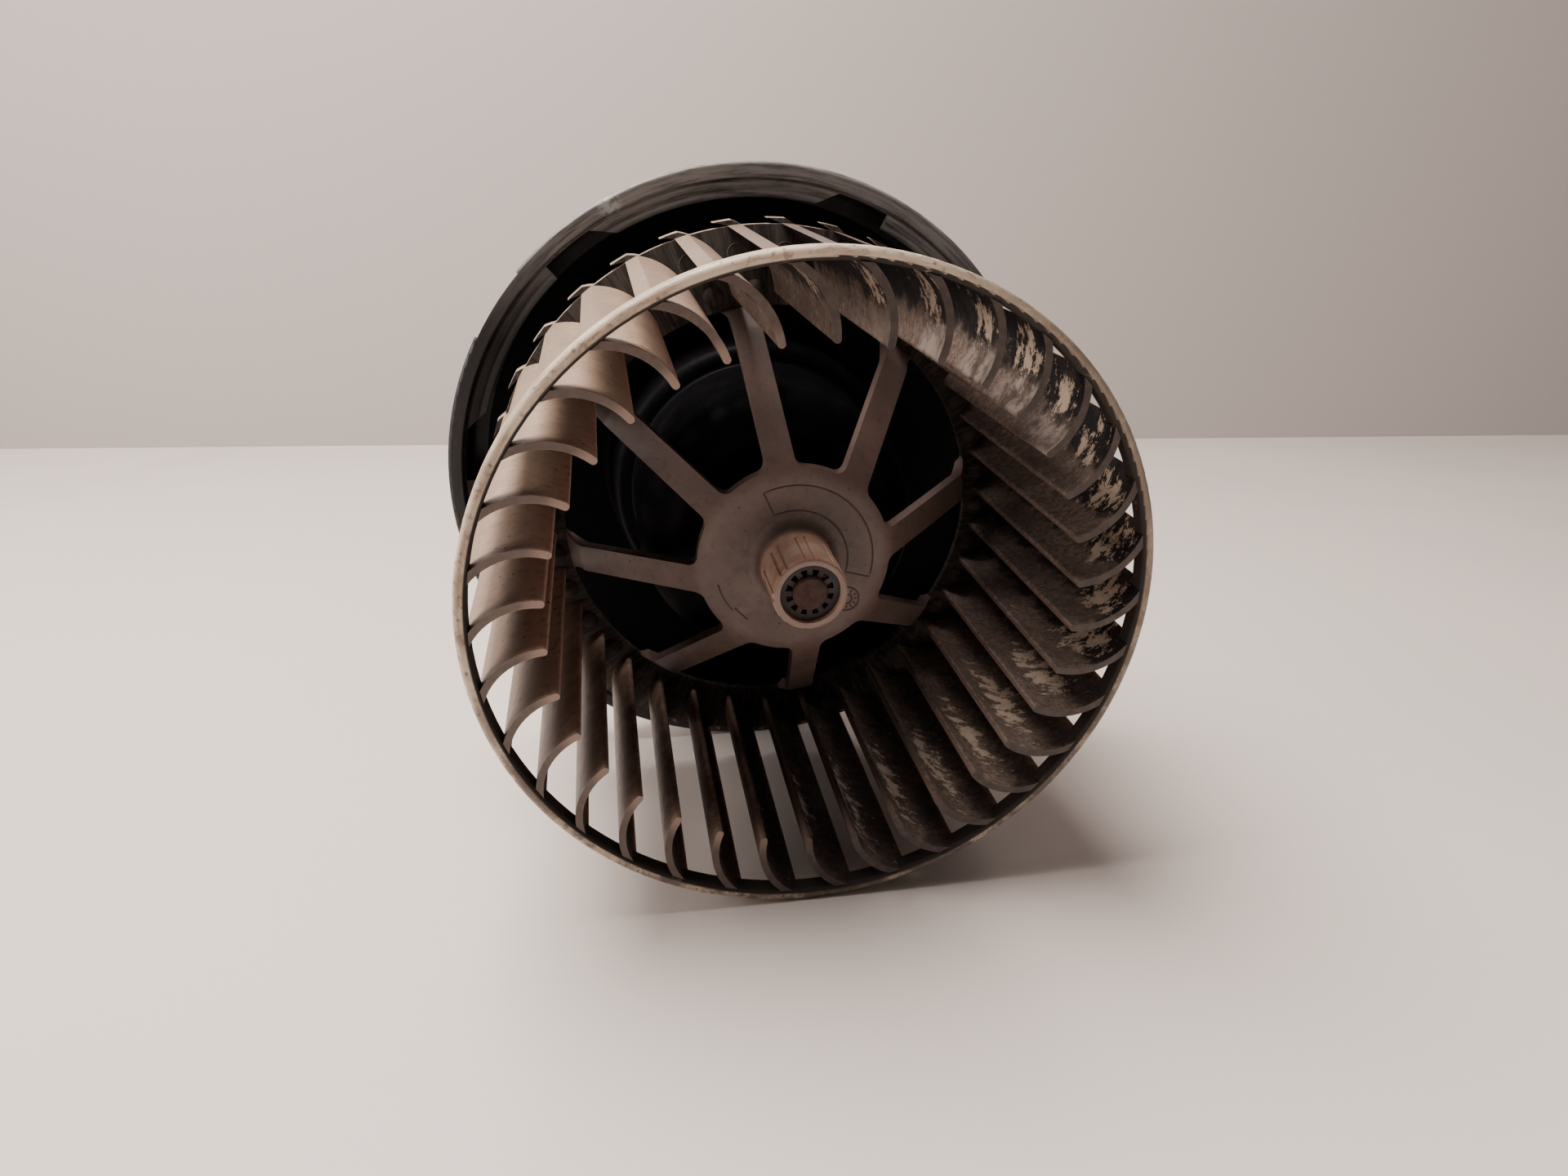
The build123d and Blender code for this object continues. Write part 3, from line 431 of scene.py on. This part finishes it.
FINISHES = {
    "wheel_front_ring": ring_plastic(),
    "wheel_blades": blade_plastic(),
    "wheel_rear_plate": plate_plastic(),
    "wheel_spokes": spider_plastic(),
    "rear_cover": black_plastic("cover_plastic", (0.024, 0.024, 0.027)),
    "connector_housing": black_plastic("socket_plastic", (0.030, 0.030, 0.031)),
    "hub_lock_ring": metal("blackened_spring_ring", (0.020, 0.017, 0.017), (0.050, 0.026, 0.020), (0.4, 0.65),
                           metallic=0.4),
    "motor_shaft": rusty_steel(),
    "armature_core": lamination_stack(),
    "armature_windings": copper_winding(),
    "commutator_core": phenolic,
    "commutator_bars": metal("commutator_copper", (0.66, 0.32, 0.18), (0.20, 0.09, 0.06), brushed=0.8),
    "thrust_washers": matt("fibre_washer", (0.30, 0.20, 0.12), (0.46, 0.34, 0.22)),
    "motor_can": zinc,
    "end_bell": zinc,
    "front_bearing": bronze,
    "rear_bearing": bronze,
    "oil_felts": matt("oily_felt", (0.16, 0.12, 0.07), (0.34, 0.28, 0.18), 900.0, (0.8, 1.0), 0.0003),
    "bearing_clips": spring_steel,
    "field_magnets": matt("ferrite", (0.035, 0.035, 0.038), (0.075, 0.074, 0.077), 260.0, (0.5, 0.75)),
    "magnet_clips": spring_steel,
    "brush_plate": phenolic,
    "brush_boxes": brass,
    "upper_brush": matt("carbon", (0.012, 0.012, 0.013), (0.045, 0.045, 0.047), 1200.0, (0.45, 0.7)),
    "upper_brush_spring": spring_steel,
    "suppression_chokes": metal("choke_wire", (0.55, 0.22, 0.10), (0.16, 0.07, 0.04), brushed=0.4),
    "terminal_blades": metal("tinned_blade", (0.70, 0.70, 0.69), (0.42, 0.38, 0.30)),
    "front_isolators": rubber,
    "rear_isolators": rubber,
    "cover_screws": zinc,
}
FINISHES["lower_brush"] = FINISHES["upper_brush"]
FINISHES["lower_brush_spring"] = FINISHES["upper_brush_spring"]
FINISHES["wheel_hub"] = FINISHES["wheel_spokes"]
# painted shade: the holder's floor, well, bell and ribs take a darker copy of the black plastic, with a tenth
# of its dust and sheen
SHADED_NODES = ("holder_floor", "motor_well", "motor_bell", "holder_ribs")
FINISHES.update(dict.fromkeys(SHADED_NODES, black_plastic("shaded_plastic", (0.0035, 0.0033, 0.0042), 0.1)))
FINISHES["holder_rim"] = black_plastic("rim_plastic", (0.010, 0.0095, 0.011), 0.6, 0.9)

for node_name, node_object in NODES.items():
    node_object.data.materials.clear()
    node_object.data.materials.append(FINISHES[node_name])


# ---------------------------------------------------------------- moulded details on the wheel

def on_hub(radius, angle):
    """A point on the hub's face at a row angle."""
    return Vector((radius * math.cos(angle), HUB_FACE, radius * math.sin(angle)))


def new_piece(name, mesh, body, material):
    piece = bpy.data.objects.new(name, mesh)
    bpy.context.scene.collection.objects.link(piece)
    piece.data.materials.append(material)
    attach(piece, body)
    return piece


def ridge(bm, points, width, height, closed=False):
    """A low rounded ridge along points that lie on a plane facing -Y."""
    count = len(points)
    profile = [(-1.0, 0.0), (-0.62, 0.72), (0.0, 1.0), (0.62, 0.72), (1.0, 0.0)]
    rings = []
    for index, point in enumerate(points):
        before = points[index - 1] if index or closed else point
        after = points[(index + 1) % count] if index < count - 1 or closed else point
        along = (after - before).normalized()
        side = along.cross(Vector((0, 1, 0))).normalized()
        places = [point + side * (width / 2 * s) - Vector((0, height * h, 0)) for s, h in profile]
        rings.append([bm.verts.new(place) for place in places])
    pairs = list(zip(rings, rings[1:]))
    if closed:
        pairs.append((rings[-1], rings[0]))
    for first, second in pairs:
        for i in range(len(profile) - 1):
            bm.faces.new((first[i], first[i + 1], second[i + 1], second[i]))
        bm.faces.new((first[-1], first[0], second[0], second[-1]))
    if not closed:
        bm.faces.new(rings[0])
        bm.faces.new(rings[-1][::-1])


def arc_points(radius, start, end, place, count=None):
    count = count or max(2, int(abs(end - start) / math.radians(4)))
    return [place(radius, start + (end - start) * i / count) for i in range(count + 1)]


def mesh_from(bm, name):
    bmesh.ops.recalc_face_normals(bm, faces=bm.faces)
    mesh = bpy.data.meshes.new(name)
    bm.to_mesh(mesh)
    bm.free()
    mesh.shade_smooth()
    return mesh


def hub_marks():
    """Blank moulded frame, plain dial and parting mark on the hub's face; no lettering."""
    bm = bmesh.new()
    start, end = math.radians(113), math.radians(-16)
    inner, outer = 12.9 * MM, 19.1 * MM
    width, height = 0.42 * MM, 0.18 * MM
    frame_line = arc_points(outer, start, end, on_hub) + arc_points(inner, end, start, on_hub)
    ridge(bm, frame_line, width, height, closed=True)
    centre = on_hub(16.8 * MM, math.radians(-40))
    dial = 3.1 * MM

    def on_dial(radius, angle):
        return centre + Vector((radius * math.cos(angle), 0, radius * math.sin(angle)))

    ridge(bm, arc_points(dial, 0, math.tau, on_dial, 40)[:-1], width, height, closed=True)
    ridge(bm, arc_points(dial * 0.42, 0, math.tau, on_dial, 24)[:-1], width, height, closed=True)
    for tick in range(12):
        angle = math.tau * tick / 12
        ridge(bm, [on_dial(dial * 0.6, angle), on_dial(dial * 0.85, angle)], width * 0.8, height)
    split = math.radians(-143)
    ridge(bm, arc_points(19.2 * MM, math.radians(-166), split, on_hub, 6), width * 0.8, height)
    ridge(bm, arc_points(18.4 * MM, split, math.radians(-129), on_hub, 4), width * 0.8, height)
    return mesh_from(bm, "hub_marks")


def on_plate(x, z):
    """A point on the conical rear plate's front face."""
    radius = math.hypot(x, z)
    return Vector((x, PLATE_EDGE_FACE + PLATE_SLOPE * (radius - PLATE_EDGE_R), z))


def plate_marks():
    """Ejector-pin rings on the rear plate, one between each pair of blades."""
    bm = bmesh.new()
    for index in range(BLADE_COUNT):
        angle = FIRST_BLADE + BLADE_PITCH * (index + 0.78)
        x, z = 66.5 * MM * math.cos(angle), 66.5 * MM * math.sin(angle)
        turns = [math.tau * i / 28 for i in range(28)]
        ring = [on_plate(x + 2.5 * MM * math.cos(a), z + 2.5 * MM * math.sin(a)) for a in turns]
        ridge(bm, ring, 0.26 * MM, 0.12 * MM, closed=True)
    return mesh_from(bm, "plate_marks")


def mark_material():
    """The wheel's plastic where dirt has settled along a moulded line."""
    g = Graph("dirty_moulded_line")
    colour = g.blend(g.noise(500, 4.0), (0.035, 0.024, 0.022), (0.09, 0.06, 0.05))
    return g.finish(Base_Color=colour, Roughness=0.7)


line_dirt = mark_material()
new_piece("hub_marks", hub_marks(), "rotor", line_dirt)
new_piece("plate_marks", plate_marks(), "rotor", line_dirt)


# ---------------------------------------------------------------- floor, light and camera

def floor_normal():
    """The blower lies on its holder's rim and the wheel's front ring."""
    lean = math.atan2(RIM_R - WHEEL_R, -WHEEL_FRONT)
    roll = math.radians(1.2)
    normal = Vector((0, math.sin(lean), math.cos(lean)))
    return Matrix.Rotation(roll, 3, "Y") @ normal


def plain_stage_material(name, colour, rough, depth):
    g = Graph(name)
    soft = g.noise(3.0, 3.0, 0.5)
    shade = g.blend(g.times(soft, 0.12), colour, (colour[0] * 0.9, colour[1] * 0.9, colour[2] * 0.9))
    surface = g.step(g.noise(6.0, 4.0), 0.3, 0.7, rough - 0.04, rough + 0.04)
    return g.finish(Base_Color=shade, Roughness=surface, Normal=g.bump(g.noise(40.0), depth))


def stage_plane(name, centre, normal, size, material):
    mesh = bpy.data.meshes.new(name)
    half = size / 2
    corners = [(-half, -half, 0), (half, -half, 0), (half, half, 0), (-half, half, 0)]
    mesh.from_pydata(corners, [], [(0, 1, 2, 3)])
    plane = bpy.data.objects.new(name, mesh)
    bpy.context.scene.collection.objects.link(plane)
    plane.matrix_world = Matrix.Translation(centre) @ normal.to_track_quat("Z", "Y").to_matrix().to_4x4()
    mesh.materials.append(material)


UP = floor_normal()
# lowest point of the rim along the floor's normal
RADIAL_UP = Vector((UP.x, 0, UP.z)).normalized()
FLOOR_POINT = -RADIAL_UP * RIM_R - UP * 0.0002
stage_plane("studio_floor", FLOOR_POINT, UP, 6.0,
            plain_stage_material("pale_floor", (0.735, 0.665, 0.625), 0.22, 0.0001))
BACK = Vector((0.12, 1.0, 0.0))
BACK = (BACK - UP * BACK.dot(UP)).normalized()
WALL_DISTANCE = 0.62
stage_plane("studio_wall", FLOOR_POINT + BACK * WALL_DISTANCE, -BACK, 8.0,
            plain_stage_material("pale_wall", (0.465, 0.42, 0.40), 0.6, 0.0001))


LIGHT_COLOUR = (1.0, 0.92, 0.86)


def area_light(name, place, target, size, power):
    data = bpy.data.lights.new(name, "AREA")
    data.shape = "DISK"
    data.size = size
    data.energy = power
    data.color = LIGHT_COLOUR
    light = bpy.data.objects.new(name, data)
    light.location = place
    light.rotation_euler = (Vector(target) - Vector(place)).to_track_quat("-Z", "Y").to_euler()
    bpy.context.scene.collection.objects.link(light)


area_light("overhead_softbox", (-0.35, 0.22, 1.05), (0, -0.02, 0), 0.9, 36.0)
area_light("left_softbox", (-1.0, 0.0, 0.45), (0, -0.03, 0), 0.7, 8.0)

world = bpy.data.worlds.new("soft_studio")
bpy.context.scene.world = world
world.use_nodes = True
world.node_tree.nodes["Background"].inputs["Color"].default_value = (0.80, 0.74, 0.70, 1.0)
world.node_tree.nodes["Background"].inputs["Strength"].default_value = 0.12

# Camera at the photo's angle: standing point and axes in the frame
CAMERA_AT = Vector((-0.04155, WHEEL_FRONT - 0.19017, 0.09343))
CAMERA_RIGHT = Vector((0.98497, -0.17270, 0.0)).normalized()
CAMERA_UP = Vector((0.07019, 0.40030, 0.91369)).normalized()
camera_data = bpy.data.cameras.new("camera")
camera_data.sensor_width = 36.0
camera_data.lens = 23.44
camera_data.clip_start = 0.01
camera_data.clip_end = 20.0
camera = bpy.data.objects.new("camera", camera_data)
turn = Matrix((CAMERA_RIGHT, CAMERA_UP, CAMERA_RIGHT.cross(CAMERA_UP))).transposed()
camera.matrix_world = Matrix.Translation(CAMERA_AT) @ turn.to_4x4()
bpy.context.scene.collection.objects.link(camera)
bpy.context.scene.camera = camera
